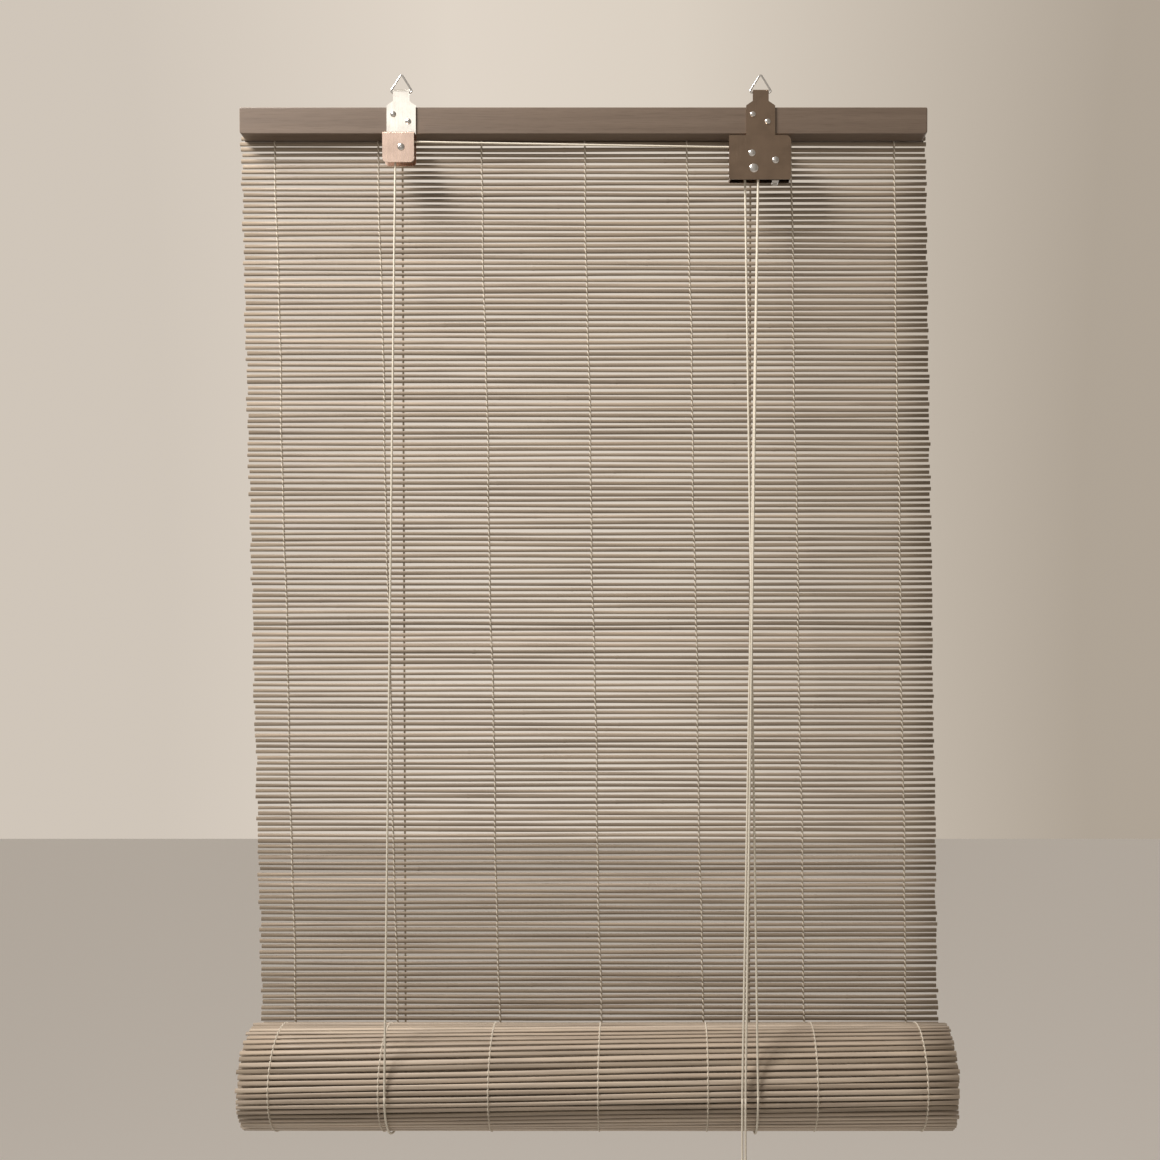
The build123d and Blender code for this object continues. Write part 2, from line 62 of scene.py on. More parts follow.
# ---------------------------------------------------------------- sizes, from the frame and the part
HEADRAIL_LOW, HEADRAIL_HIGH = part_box("headrail")
SHEET_LOW, SHEET_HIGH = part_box("hanging_slats")
ROLL_LOW, ROLL_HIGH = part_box("rolled_slats")
COIL_LOW, COIL_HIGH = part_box("pull_cord_coil")
TIE_LOW, TIE_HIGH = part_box("coil_tie")
TASSEL_LOW, TASSEL_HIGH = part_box("tassel")
WIDTH = HEADRAIL_HIGH.x - HEADRAIL_LOW.x
SHEET_Y = (SHEET_LOW.y + SHEET_HIGH.y) / 2
SLAT_PITCH = 5.0 * MM
SLAT_HEIGHT = 3.6 * MM
SLAT_DEPTH = SHEET_HIGH.y - SHEET_LOW.y
CLAMPED_SLATS = 5
HALF_TURNS = 9
TURN_PITCH = 5.0 * MM
FIRST_TURN_RADIUS = 44.2 * MM
DRIFT = (ROLL_LOW.x + ROLL_HIGH.x) / 2
ROLL_Y = SHEET_Y - FIRST_TURN_RADIUS
ROLL_Z = ROLL_LOW.z + FIRST_TURN_RADIUS + SLAT_DEPTH / 2
THREADS = 7
EDGE_MARGIN = 27.0 * MM  # from either end of the headrail to the nearest thread
THREAD_SPACING = (WIDTH - 2 * EDGE_MARGIN) / (THREADS - 1)
CORD_RADIUS = 0.9 * MM

rng = np.random.default_rng(7)


# ---------------------------------------------------------------- mesh helpers
def make_object(name, vertices, faces, material, tones=None, smooth=True):
    """A mesh object in the row frame, with an optional tone at each vertex for its material."""
    mesh = bpy.data.meshes.new(name)
    mesh.from_pydata([tuple(v) for v in vertices], [], [tuple(f) for f in faces])
    if tones is not None:
        mesh.attributes.new("tone", "FLOAT", "POINT").data.foreach_set("value", np.array(tones, np.float32))
    if smooth:
        mesh.polygons.foreach_set("use_smooth", [True] * len(mesh.polygons))
    mesh.materials.append(material)
    mesh.validate()
    obj = bpy.data.objects.new(name, mesh)
    bpy.context.scene.collection.objects.link(obj)
    return obj


def loft_faces(rings, sides, first=0):
    """The faces of a closed tube of rings, its two end caps included."""
    faces = []
    for r in range(rings - 1):
        for s in range(sides):
            a = first + r * sides + s
            b = first + r * sides + (s + 1) % sides
            faces.append((a, b, b + sides, a + sides))
    last = first + (rings - 1) * sides
    faces.append(tuple(range(first + sides - 1, first - 1, -1)))
    faces.append(tuple(range(last, last + sides)))
    return faces


def squared_off(values, squareness):
    """Sines and cosines drawn out towards a square: 1 keeps them, and less is squarer."""
    return np.sign(values) * np.abs(values) ** squareness


def tube_rings(line, radius, sides):
    """Rings of a round tube along a line of points, carried along it without twisting."""
    line = np.array(line, float)
    ahead = np.gradient(line, axis=0)
    ahead /= np.linalg.norm(ahead, axis=1)[:, None]
    side = np.cross(ahead[0], [0.0, 1.0, 0.3])
    side /= np.linalg.norm(side)
    angles = np.arange(sides)[:, None] * 2 * math.pi / sides
    rings = []
    for point, way in zip(line, ahead):
        side = side - way * (side @ way)
        side /= np.linalg.norm(side)
        other = np.cross(way, side)
        rings.append(point + radius * (np.cos(angles) * side + np.sin(angles) * other))
    return np.concatenate(rings)


# ---------------------------------------------------------------- material helpers
def new_material(name):
    """A new material with its node tree and its shader."""
    material = bpy.data.materials.new(name)
    material.use_nodes = True
    tree = material.node_tree
    return material, tree, tree.nodes["Principled BSDF"]


def stretched_noise(tree, scale, detail=4.0, roughness=0.6, size=1.0):
    """Noise over the piece's own coordinates, stretched by a scale along each axis."""
    place = tree.nodes.new("ShaderNodeTexCoord")
    mapping = tree.nodes.new("ShaderNodeMapping")
    mapping.inputs["Scale"].default_value = scale
    noise = tree.nodes.new("ShaderNodeTexNoise")
    noise.inputs["Scale"].default_value = size
    noise.inputs["Detail"].default_value = detail
    noise.inputs["Roughness"].default_value = roughness
    tree.links.new(place.outputs["Object"], mapping.inputs["Vector"])
    tree.links.new(mapping.outputs["Vector"], noise.inputs["Vector"])
    return noise.outputs["Fac"]


def ramp(tree, value, stops):
    """A colour ramp: stops is a list of (position, (r, g, b))."""
    node = tree.nodes.new("ShaderNodeValToRGB")
    while len(node.color_ramp.elements) < len(stops):
        node.color_ramp.elements.new(0.5)
    for element, (position, colour) in zip(node.color_ramp.elements, stops):
        element.position = position
        element.color = (*colour, 1.0)
    tree.links.new(value, node.inputs["Fac"])
    return node.outputs["Color"]


def grey(tree, value, low, high):
    """Maps a value from 0..1 to low..high."""
    node = tree.nodes.new("ShaderNodeMapRange")
    node.inputs["To Min"].default_value = low
    node.inputs["To Max"].default_value = high
    tree.links.new(value, node.inputs["Value"])
    return node.outputs["Result"]


def product(tree, a, b):
    """One colour multiplied by another."""
    node = tree.nodes.new("ShaderNodeMix")
    node.data_type = "RGBA"
    node.blend_type = "MULTIPLY"
    node.inputs["Factor"].default_value = 1.0
    tree.links.new(a, node.inputs[6])
    tree.links.new(b, node.inputs[7])
    return node.outputs[2]


def bump(tree, shader, height, strength, distance):
    """Presses a height into the shader's surface, distance being in metres."""
    node = tree.nodes.new("ShaderNodeBump")
    node.inputs["Strength"].default_value = strength
    node.inputs["Distance"].default_value = distance
    tree.links.new(height, node.inputs["Height"])
    tree.links.new(node.outputs["Normal"], shader.inputs["Normal"])


# ---------------------------------------------------------------- materials
def bamboo_material():
    """Greyed bamboo: each slat has its own tone, with fibres along it and darker weathered patches."""
    material, tree, shader = new_material("greyed_bamboo")
    tone = tree.nodes.new("ShaderNodeAttribute")
    tone.attribute_name = "tone"
    base = ramp(
        tree,
        tone.outputs["Fac"],
        [
            (0.0, (0.215, 0.175, 0.133)),
            (0.45, (0.315, 0.260, 0.200)),
            (0.8, (0.415, 0.345, 0.274)),
            (1.0, (0.510, 0.435, 0.353)),
        ],
    )
    patches = ramp(
        tree,
        stretched_noise(tree, (9.0, 260.0, 260.0), detail=3.0),
        [(0.3, (0.74, 0.72, 0.70)), (0.5, (1.0, 1.0, 1.0)), (0.72, (1.12, 1.10, 1.06))],
    )
    fibres = ramp(
        tree,
        stretched_noise(tree, (26.0, 2600.0, 2600.0), detail=6.0, roughness=0.7),
        [(0.3, (0.84, 0.83, 0.81)), (0.7, (1.10, 1.09, 1.08))],
    )
    colour = product(tree, product(tree, base, patches), fibres)
    tree.links.new(colour, shader.inputs["Base Color"])
    polish = grey(tree, stretched_noise(tree, (30.0, 900.0, 900.0)), 0.38, 0.60)
    tree.links.new(polish, shader.inputs["Roughness"])
    shader.inputs["Specular IOR Level"].default_value = 0.42
    bump(tree, shader, stretched_noise(tree, (30.0, 2200.0, 2200.0), detail=5.0), 0.35, 0.0003)
    return material


def rail_material():
    """Stained and varnished wood of the headrail: long grain, fine pores and a soft sheen."""
    material, tree, shader = new_material("stained_rail_wood")
    grain = ramp(
        tree,
        stretched_noise(tree, (3.0, 90.0, 140.0), detail=5.0, roughness=0.65),
        [(0.25, (0.128, 0.093, 0.069)), (0.5, (0.153, 0.113, 0.084)), (0.75, (0.177, 0.132, 0.100))],
    )
    pores = ramp(
        tree,
        stretched_noise(tree, (40.0, 1500.0, 1500.0), detail=4.0),
        [(0.34, (0.78, 0.77, 0.75)), (0.5, (1.0, 1.0, 1.0))],
    )
    tree.links.new(product(tree, grain, pores), shader.inputs["Base Color"])
    sheen = grey(tree, stretched_noise(tree, (8.0, 120.0, 120.0)), 0.36, 0.52)
    tree.links.new(sheen, shader.inputs["Roughness"])
    shader.inputs["Specular IOR Level"].default_value = 0.45
    shader.inputs["Coat Weight"].default_value = 0.15
    shader.inputs["Coat Roughness"].default_value = 0.3
    bump(tree, shader, stretched_noise(tree, (40.0, 1200.0, 1200.0), detail=5.0), 0.25, 0.0002)
    return material


def metal_material(name, colour, roughness, brush=(700.0, 700.0, 20.0), wear=0.16):
    """Plated sheet metal with fine rolling lines, faint stains and slightly uneven polish."""
    material, tree, shader = new_material(name)
    darker = tuple(c * (1 - wear) for c in colour)
    stains = ramp(tree, stretched_noise(tree, (60.0, 60.0, 60.0)), [(0.35, darker), (0.6, colour)])
    tree.links.new(stains, shader.inputs["Base Color"])
    shader.inputs["Metallic"].default_value = 1.0
    lines = stretched_noise(tree, brush, detail=3.0)
    tree.links.new(grey(tree, lines, roughness * 0.75, roughness * 1.3), shader.inputs["Roughness"])
    bump(tree, shader, lines, 0.06, 0.0001)
    return material


def fibre_material(name, dark, light, scale):
    """Twisted or braided yarn: fine cross strands that catch the light, and a soft sheen."""
    material, tree, shader = new_material(name)
    strands = stretched_noise(tree, (scale, scale, scale * 1.4), detail=3.0)
    tree.links.new(ramp(tree, strands, [(0.3, dark), (0.68, light)]), shader.inputs["Base Color"])
    shader.inputs["Roughness"].default_value = 0.75
    shader.inputs["Sheen Weight"].default_value = 0.25
    shader.inputs["Sheen Roughness"].default_value = 0.5
    bump(tree, shader, strands, 0.5, 0.0003)
    return material


def plastic_material():
    """Off-white moulded nylon of the pulleys, with a fine mould texture and grey rub marks."""
    material, tree, shader = new_material("moulded_nylon")
    marks = ramp(
        tree,
        stretched_noise(tree, (220.0, 220.0, 220.0)),
        [(0.3, (0.60, 0.58, 0.54)), (0.55, (0.80, 0.78, 0.73))],
    )
    tree.links.new(marks, shader.inputs["Base Color"])
    shader.inputs["Roughness"].default_value = 0.38
    bump(tree, shader, stretched_noise(tree, (1500.0, 1500.0, 1500.0)), 0.15, 0.0001)
    return material


BAMBOO = bamboo_material()
RAIL_WOOD = rail_material()
NICKEL = metal_material("nickel_plate", (0.93, 0.90, 0.83), 0.20)
ROSE_METAL = metal_material("rose_plate", (0.78, 0.60, 0.50), 0.26)
# painted dark reflection: the right bracket's plate is tinted dark brown to stand in for the dark
# surroundings its metal mirrors
DARK_REFLECTION_METAL = metal_material("metal_with_painted_dark_reflection", (0.36, 0.265, 0.195), 0.24)
STEEL = metal_material("rivet_steel", (0.78, 0.77, 0.75), 0.18, brush=(900.0, 900.0, 900.0))
THREAD = fibre_material("cream_warp_thread", (0.42, 0.37, 0.30), (0.80, 0.73, 0.61), 2600.0)
CORD = fibre_material("cream_cord", (0.50, 0.45, 0.36), (0.80, 0.75, 0.64), 1700.0)
TIE = fibre_material("woven_tie", (0.10, 0.09, 0.08), (0.20, 0.18, 0.16), 1800.0)
NYLON = plastic_material()

CARRIED_OVER = {
    "headrail": RAIL_WOOD,
    "back_batten": RAIL_WOOD,
    "bottom_rail": RAIL_WOOD,
    "headrail_nails": STEEL,
    "hanger_strap_left": NICKEL,
    "hanger_strap_right": DARK_REFLECTION_METAL,
    "pulley_hood": ROSE_METAL,
    "lock_housing": DARK_REFLECTION_METAL,
    "lock_cam": STEEL,
    "wire_ring_left": STEEL,
    "wire_ring_right": STEEL,
    "pulley_left": NYLON,
    "pulley_right_rear": NYLON,
    "pulley_right_front": NYLON,
    "cord_knots": CORD,
    "lift_cord_right_run": CORD,
}
for node_name, node_material in CARRIED_OVER.items():
    for material_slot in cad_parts[node_name].material_slots:
        material_slot.material = node_material

# ---------------------------------------------------------------- bamboo slats
PROFILE_SIDES = 8
ANGLES = (np.arange(PROFILE_SIDES) + 0.5) * 2 * math.pi / PROFILE_SIDES
ROUND = np.stack([np.cos(ANGLES), np.sin(ANGLES)], axis=1)
PROFILE = squared_off(ROUND, 0.62)  # across the sheet, and up it
KNOTTY_SHARE = 0.55  # the share of slats that show two knots
KNOT_SWELLING = 0.10
KNOT_LENGTH = 1.2 * MM
KNOT_REACH = 1.6 * MM
THICK_AND_THIN = 0.05  # how much a slat's section varies along it
WANDER = 0.30 * MM  # up and down the sheet
OFF_PITCH = 0.12 * MM
WAVER = 0.10 * MM  # across the sheet
TONE_SPREAD = 0.2


def wave(along, slowest, quickest):
    """A sine along a slat, with a random wave number between two and a random start."""
    return np.sin(along * rng.uniform(slowest, quickest) + rng.uniform(0, 6.3))


def slat_shape(runs, proud):
    """One slat: places along it, its sideways waver, its wander up and down, and its swelling.

    proud is how far its left and right ends stand beyond the headrail's on average.
    """
    left = -WIDTH / 2 - proud[0] + rng.uniform(-1.3, 1.3) * MM
    right = WIDTH / 2 + proud[1] + rng.uniform(-1.0, 1.0) * MM
    along = list(np.linspace(left, right, runs))
    knots = rng.uniform(-0.46, 0.46, 2) * WIDTH if rng.random() < KNOTTY_SHARE else []
    along = np.array(sorted(along + [k + d for k in knots for d in (-KNOT_REACH, 0.0, KNOT_REACH)]))
    swelling = 1 + KNOT_SWELLING * sum(np.exp(-(((along - k) / KNOT_LENGTH) ** 2)) for k in knots)
    swelling = swelling * (1 + THICK_AND_THIN * wave(along, 14, 40))
    wander = WANDER * wave(along, 8, 22) + rng.uniform(-OFF_PITCH, OFF_PITCH)
    waver = WAVER * wave(along, 8, 22)
    return along, waver, wander, swelling


def slats(name, node, count, place, runs, proud, heights, tone):
    """Many slats in one mesh. place(n, along, across, up) gives points in the row frame.

    heights are the least and greatest height as shares of SLAT_HEIGHT, and tone the average tone.
    """
    vertices, faces, tones = [], [], []
    for n in range(count):
        along, waver, wander, swelling = slat_shape(runs, proud)
        height = SLAT_HEIGHT / 2 * rng.uniform(*heights)
        depth = SLAT_DEPTH / 2 * rng.uniform(0.86, 1.0)
        slant = rng.uniform(-0.032, 0.032)
        across = PROFILE[:, 0] * depth + PROFILE[:, 1] * height * slant
        up = PROFILE[:, 1] * height
        faces += loft_faces(len(along), PROFILE_SIDES, first=sum(map(len, vertices)))
        vertices.append(
            place(
                n,
                np.repeat(along, PROFILE_SIDES),
                np.outer(swelling, across).ravel() + np.repeat(waver, PROFILE_SIDES),
                np.outer(swelling, up).ravel() + np.repeat(wander, PROFILE_SIDES),
            )
        )
        tones += [np.clip(rng.normal(tone, TONE_SPREAD), 0, 1)] * len(along) * PROFILE_SIDES
    piece = make_object(name, np.concatenate(vertices), faces, BAMBOO, tones)
    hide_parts(node)
    return piece


HANGING_COUNT = round((SHEET_HIGH.z - SHEET_LOW.z + SLAT_PITCH - SLAT_HEIGHT) / SLAT_PITCH)
FIRST_SLAT_Z = SHEET_HIGH.z - SLAT_HEIGHT / 2


def drift_at(z):
    """How far the sheet stands to the right at a height."""
    return DRIFT * np.clip((HEADRAIL_LOW.z - z) / (HEADRAIL_LOW.z - ROLL_Z), 0, None)


def hanging_place(n, along, across, up):
    """Points of the hanging slat n, counted from the top."""
    z = FIRST_SLAT_Z - n * SLAT_PITCH
    return np.stack([along + drift_at(z), SHEET_Y + across, z + up], axis=1)


def spiral(s, outwards):
    """The point a length s down the rolled sheet, and a distance outwards from its middle.

    The half turns are arcs about two centres by turns, each half a pitch smaller than the last. Above
    its start the sheet hangs straight.
    """
    s, outwards = np.broadcast_arrays(np.asarray(s, float), np.asarray(outwards, float))
    y, z = SHEET_Y + outwards, ROLL_Z - s
    start = 0.0
    for half in range(HALF_TURNS):
        radius = FIRST_TURN_RADIUS - half * TURN_PITCH / 2
        centre = ROLL_Y - (half % 2) * TURN_PITCH / 2
        here = s >= start
        angle = -math.pi * half - (s - start) / radius
        y = np.where(here, centre + (radius + outwards) * np.cos(angle), y)
        z = np.where(here, ROLL_Z + (radius + outwards) * np.sin(angle), z)
        start += math.pi * radius
    return y, z


SPIRAL_LENGTH = sum(math.pi * (FIRST_TURN_RADIUS - h * TURN_PITCH / 2) for h in range(HALF_TURNS))
ROLLED_COUNT = int(SPIRAL_LENGTH / SLAT_PITCH) - 1
SKEW = 0.017  # how much the rolled slats climb towards the right
SKEW_LENGTH = 0.1  # of sheet, over which they come to climb that much
FIRST_ROLLED_OFFSET = 0.3 * MM


def skewed(s, along):
    """The length down the sheet where a slanting slat stands at a place along it."""
    share = np.clip(s / SKEW_LENGTH, 0, 1)
    return s + SKEW * share * share * (3 - 2 * share) * along


def rolled_place(n, along, across, up):
    """Points of the rolled slat n, counted from where the sheet meets the roll."""
    s = (n + 0.5) * SLAT_PITCH + FIRST_ROLLED_OFFSET
    y, z = spiral(np.clip(skewed(s, along) - up, None, SPIRAL_LENGTH), across)
    return np.stack([along + DRIFT, y, z], axis=1)


def lower_with_roll(piece):
    """A hanging piece, attached to the headrail's body and given a mesh of its own."""
    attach(piece, "headrail")
    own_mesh(piece)


hanging = slats(
    "bamboo_slats_hanging",
    "hanging_slats",
    HANGING_COUNT,
    hanging_place,
    runs=18,
    proud=(3.0 * MM, 1.0 * MM),
    heights=(0.80, 1.0),
    tone=0.40,
)
lower_with_roll(hanging)
rolled = slats(
    "bamboo_slats_rolled",
    "rolled_slats",
    ROLLED_COUNT,
    rolled_place,
    runs=14,
    proud=(-0.9 * MM, -1.0 * MM),
    heights=(0.92, 1.10),
    # painted light: the rolled slats get a much lighter average tone than the hanging slats' 0.40, standing
    # in for the light on the roll's upward-facing top
    tone=0.84,
)
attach(rolled, "roll")

# ---------------------------------------------------------------- warp threads
STRAND_RADIUS = 0.52 * MM
STRAND_REACH = SLAT_DEPTH / 2 + 0.30 * MM  # to the front and back of the sheet's middle
STRAND_APART = 0.42 * MM  # the most that a strand stands to either side
STRAND_SIDES = 5
POINTS_A_SLAT = 4


def thread_strands(name, node, count, place):
    """Two strands that cross between slats, so that one passes in front of each slat and one behind."""
    steps = np.arange(count * POINTS_A_SLAT + 1) / POINTS_A_SLAT
    vertices, faces = [], []
    for sign in (1, -1):
        across = sign * STRAND_REACH * np.sin(math.pi * steps)
        sideways = sign * STRAND_APART * np.cos(math.pi * steps)
        rings = tube_rings(place(steps, across, sideways), STRAND_RADIUS, STRAND_SIDES)
        faces += loft_faces(len(steps), STRAND_SIDES, first=sum(map(len, vertices)))
        vertices.append(rings)
    piece = make_object(name, np.concatenate(vertices), faces, THREAD)
    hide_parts(node)
    return piece


for number in range(1, THREADS + 1):
    thread_x = (number - (THREADS + 1) / 2) * THREAD_SPACING
    uneven = rng.uniform(0, 6.3, 2)

    def hanging_thread_place(steps, across, sideways):
        """Points of the hanging stretch, steps being slats down from the headrail."""
        z = HEADRAIL_LOW.z - steps * SLAT_PITCH
        wander = 0.5 * MM * np.sin(z * 23 + uneven[0])
        wander += 0.3 * MM * np.sin(z * 61 + uneven[1])
        return np.stack([thread_x + drift_at(z) + sideways + wander, SHEET_Y + across, z], axis=1)

    def rolled_thread_place(steps, across, sideways):
        """Points of the rolled stretch, steps being slats down from the sheet's first turn."""
        s = skewed(steps * SLAT_PITCH, thread_x)
        y, z = spiral(np.clip(s, 0, SPIRAL_LENGTH), across)
        return np.stack([thread_x + DRIFT + sideways, y, z], axis=1)

    thread = thread_strands(
        f"warp_thread_hanging_{number}",
        f"hanging_thread_{number}",
        HANGING_COUNT - CLAMPED_SLATS,
        hanging_thread_place,
    )
    lower_with_roll(thread)
    thread = thread_strands(
        f"warp_thread_rolled_{number}", f"rolled_thread_{number}", ROLLED_COUNT, rolled_thread_place
    )
    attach(thread, "roll")

# ---------------------------------------------------------------- cords
CORD_SIDES = 8


def spline_through(name, points):
    """The smooth line of a cord: a NURBS spline with the route's points, in millimetres, as its controls."""
    curve = bpy.data.curves.new(name + "_line", "CURVE")
    curve.dimensions = "3D"
    spline = curve.splines.new("NURBS")
    spline.points.add(len(points) - 1)
    for control, point in zip(spline.points, points):
        control.co = (*[c * MM for c in point], 1.0)
    spline.order_u = 3
    spline.use_endpoint_u = True
    spline.resolution_u = 5
    bare = bpy.data.objects.new(name + "_line", curve)
    mesh = bpy.data.meshes.new_from_object(bare)
    line = np.array([v.co for v in mesh.vertices], float)
    bpy.data.objects.remove(bare)
    bpy.data.meshes.remove(mesh)
    return line


def cord_piece(name, points, nodes):
    """One stretch of cord as a tube along its spline."""
    line = spline_through(name, points)
    rings = tube_rings(line, CORD_RADIUS, CORD_SIDES)
    piece = make_object(name, rings, loft_faces(len(line), CORD_SIDES), CORD)
    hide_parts(*nodes)
    return piece


LEFT_RUN = [
    (-162.6, -32.1, -24.0),
    (-162.6, -32.1, -21.7),
    (-159.3, -32.1, -18.4),
    (-146.0, -32.1, -18.6),
    (136.0, -32.1, -23.4),
    (148.7, -32.1, -23.6),
    (152.0, -32.1, -26.9),
    (152.0, -32.1, -29.2),
]
LEFT_FRONT = [
    (-162.6, -32.1, -24.0),
    (-162.6, -32.1, -30.0),
    (-162.6, -33.0, -41.0),
    (-161.7, -97.7, -811.0),
    (-161.7, -98.7, -823.0),
    (-161.7, -98.7, -825.0),
]
RIGHT_FRONT = [
    (140.8, -27.05, -29.2),
    (140.8, -27.05, -35.2),
    (140.9, -28.1, -46.5),
    (147.4, -97.6, -811.0),
    (147.5, -98.7, -822.9),
    (147.5, -98.7, -825.0),
]
REAR_TAIL = [
    (152.0, -27.05, -29.2),
    (152.0, -27.05, -35.2),
    (152.0, -30.6, -49.0),
    (151.75, -31.6, -60.0),
    (134.5, -99.9, -811.0),
    (134.25, -101.0, -822.7),
    (134.25, -101.0, -825.0),
]
FRONT_TAIL = [
    (152.0, -32.1, -29.2),
    (152.0, -32.1, -35.2),
    (152.0, -33.3, -49.0),
    (151.8, -34.3, -60.0),
    (137.2, -100.0, -811.0),
    (136.95, -101.0, -822.7),
    (136.95, -101.0, -825.0),
]

piece = cord_piece("lift_cord_left_over_pulleys", LEFT_RUN, ["lift_cord_left_run"])
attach(piece, "headrail")

for name, points in (("left", LEFT_FRONT), ("right", RIGHT_FRONT)):
    piece = cord_piece(f"lift_cord_{name}_in_front", points, [f"lift_cord_{name}_front"])
    lower_with_roll(piece)

    x = points[-1][0]
    under_roll = [
        (x, -98.7, -825.0),
        (x, -98.7, -840.4),
        (x, -80.6, -865.2),
        (x, -51.4, -874.7),
        (x, -22.2, -865.2),
        (x, -4.1, -840.4),
        (x, -4.1, -825.0),
    ]
    piece = cord_piece(f"lift_cord_{name}_under_roll", under_roll, [f"lift_cord_{name}_loop"])
    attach(piece, "cord_loops")

    up_the_back = [(x, -4.1, -11.9), (x, -4.1, -24.0), (x, -4.1, -813.0), (x, -4.1, -825.0)]
    piece = cord_piece(f"lift_cord_{name}_behind", up_the_back, [f"lift_cord_{name}_back"])
    lower_with_roll(piece)

for name, points in (("rear", REAR_TAIL), ("front", FRONT_TAIL)):
    piece = cord_piece(f"pull_cord_{name}_hanging", points, [f"pull_cord_{name}_upper"])
    lower_with_roll(piece)

# ---------------------------------------------------------------- coil, tie and tassel
COIL_X = (COIL_LOW.x + COIL_HIGH.x) / 2 / MM
COIL_Y = (COIL_LOW.y + COIL_HIGH.y) / 2 / MM
COIL_Z = (COIL_LOW.z + COIL_HIGH.z) / 2 / MM
COIL_LAYERS = 5
TURNS_A_LAYER = 3
POINTS_A_TURN = 12
OUTER_TURN = 14.1  # radius of the cord's middle in the outer layer, in mm as all of the coil is
LAYER_STEP = 1.8
COLUMN_STEP = 1.8
FIRST_COLUMN = -6.3  # from the coil's middle towards its front
ENTRY_ANGLE = 55.0
UNEVENNESS = 0.25
STRANDS_APART = 1.9  # where both strands leave the coil


def coil_points(strand):
    """The turns of one strand, from the outer layer inwards, side by side with the other strand's."""
    points = []
    for n in range(COIL_LAYERS * TURNS_A_LAYER * POINTS_A_TURN):
        turn = n / POINTS_A_TURN
        layer = int(turn / TURNS_A_LAYER)
        share = turn / TURNS_A_LAYER - layer
        column = share if layer % 2 == 0 else 1.0 - share
        # a new layer is reached in a third of a turn, and the first is there from the start
        settled = min(share * TURNS_A_LAYER * 3, 1.0) if layer else 1.0
        radius = OUTER_TURN - LAYER_STEP * (layer - 1 + settled)
        radius += UNEVENNESS * math.sin(turn * 2.1 + strand)
        angle = math.radians(ENTRY_ANGLE) - 2 * math.pi * turn
        across = FIRST_COLUMN + COLUMN_STEP * strand + 2 * COLUMN_STEP * TURNS_A_LAYER * column
        points.append(
            (COIL_X + radius * math.cos(angle), COIL_Y + across, COIL_Z + radius * math.sin(angle))
        )
    return points


TASSEL_SIDES = 32
TASSEL_LENGTH = TASSEL_HIGH.z - TASSEL_LOW.z
TASSEL_RADIUS = (TASSEL_HIGH.x - TASSEL_LOW.x) / 2
# shares of the tassel's length and radius, from its top to the hollow in its foot
TASSEL_NECK = [(0.00, 0.18), (0.00, 0.36), (0.02, 0.42), (0.07, 0.44), (0.10, 0.40), (0.13, 0.46)]
TASSEL_BELL = [(0.20, 0.60), (0.30, 0.76), (0.42, 0.91), (0.54, 0.99), (0.64, 1.00), (0.68, 0.99)]
TASSEL_GROOVE = [(0.69, 0.94), (0.71, 0.94), (0.72, 0.98)]
TASSEL_FOOT = [(0.80, 0.93), (0.88, 0.80), (0.94, 0.64), (0.98, 0.48), (1.00, 0.34)]
TASSEL_HOLLOW = [(0.97, 0.22), (0.93, 0.18)]


def tassel_rings():
    """The rings of the turned tassel about its upright axis."""
    angles = np.arange(TASSEL_SIDES) * 2 * math.pi / TASSEL_SIDES
    rings = []
    for down, out in TASSEL_NECK + TASSEL_BELL + TASSEL_GROOVE + TASSEL_FOOT + TASSEL_HOLLOW:
        radius = out * TASSEL_RADIUS
        x = COIL_X * MM + radius * np.cos(angles)
        y = COIL_Y * MM + radius * np.sin(angles)
        rings.append(np.stack([x, y, np.full(TASSEL_SIDES, TASSEL_HIGH.z - down * TASSEL_LENGTH)], axis=1))
    return rings


turned_rings = tassel_rings()
tassel_faces = loft_faces(len(turned_rings), TASSEL_SIDES)
tassel = make_object("pull_cord_tassel", np.concatenate(turned_rings), tassel_faces, RAIL_WOOD)
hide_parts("tassel")
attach(tassel, "pull_cord_end")

for strand, (name, tail) in enumerate((("rear", REAR_TAIL), ("front", FRONT_TAIL))):
    x = tail[-1][0]
    column_y = COIL_Y + FIRST_COLUMN + COLUMN_STEP * strand
    into_coil = [
        (x, COIL_Y, -825.0),
        (x, COIL_Y, -848.0),
        (x, COIL_Y, -868.0),
        (x, COIL_Y - 2.0, COIL_Z + 19.0),
        (x + 2.0, column_y, COIL_Z + 15.5),
    ]
    beside = COIL_X + STRANDS_APART * (strand - 0.5)
    front_face = (COIL_LOW.y - CORD_RADIUS) / MM
    out_of_coil = [
        (COIL_X + 6.0, COIL_Y + 4.4, COIL_Z + 2.8),
        (COIL_X + 5.9, COIL_Y + 1.4, COIL_Z - 1.0),
        (COIL_X + 3.9, COIL_Y - 2.2, COIL_Z - 3.8),
        (COIL_X + 1.6, COIL_Y - 5.6, COIL_Z - 5.4),
        (beside, front_face, COIL_Z - 8.8),
        (beside, front_face, COIL_Z - 12.8),
        (beside, COIL_Y - 6.0, COIL_Z - 17.2),
        (beside, COIL_Y - 1.6, COIL_Z - 19.6),
        (beside, COIL_Y, COIL_Z - 23.6),
    ]
    piece = cord_piece(
        f"pull_cord_{name}_coiled",
        into_coil + coil_points(strand) + out_of_coil,
        [f"pull_cord_{name}_lower"] + (["pull_cord_coil"] if strand else []),
    )
    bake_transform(piece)

TIE_TURNS = 4
TIE_POINTS_A_TURN = 40
TIE_YARN = 0.62 * MM
TIE_SIDES = 8


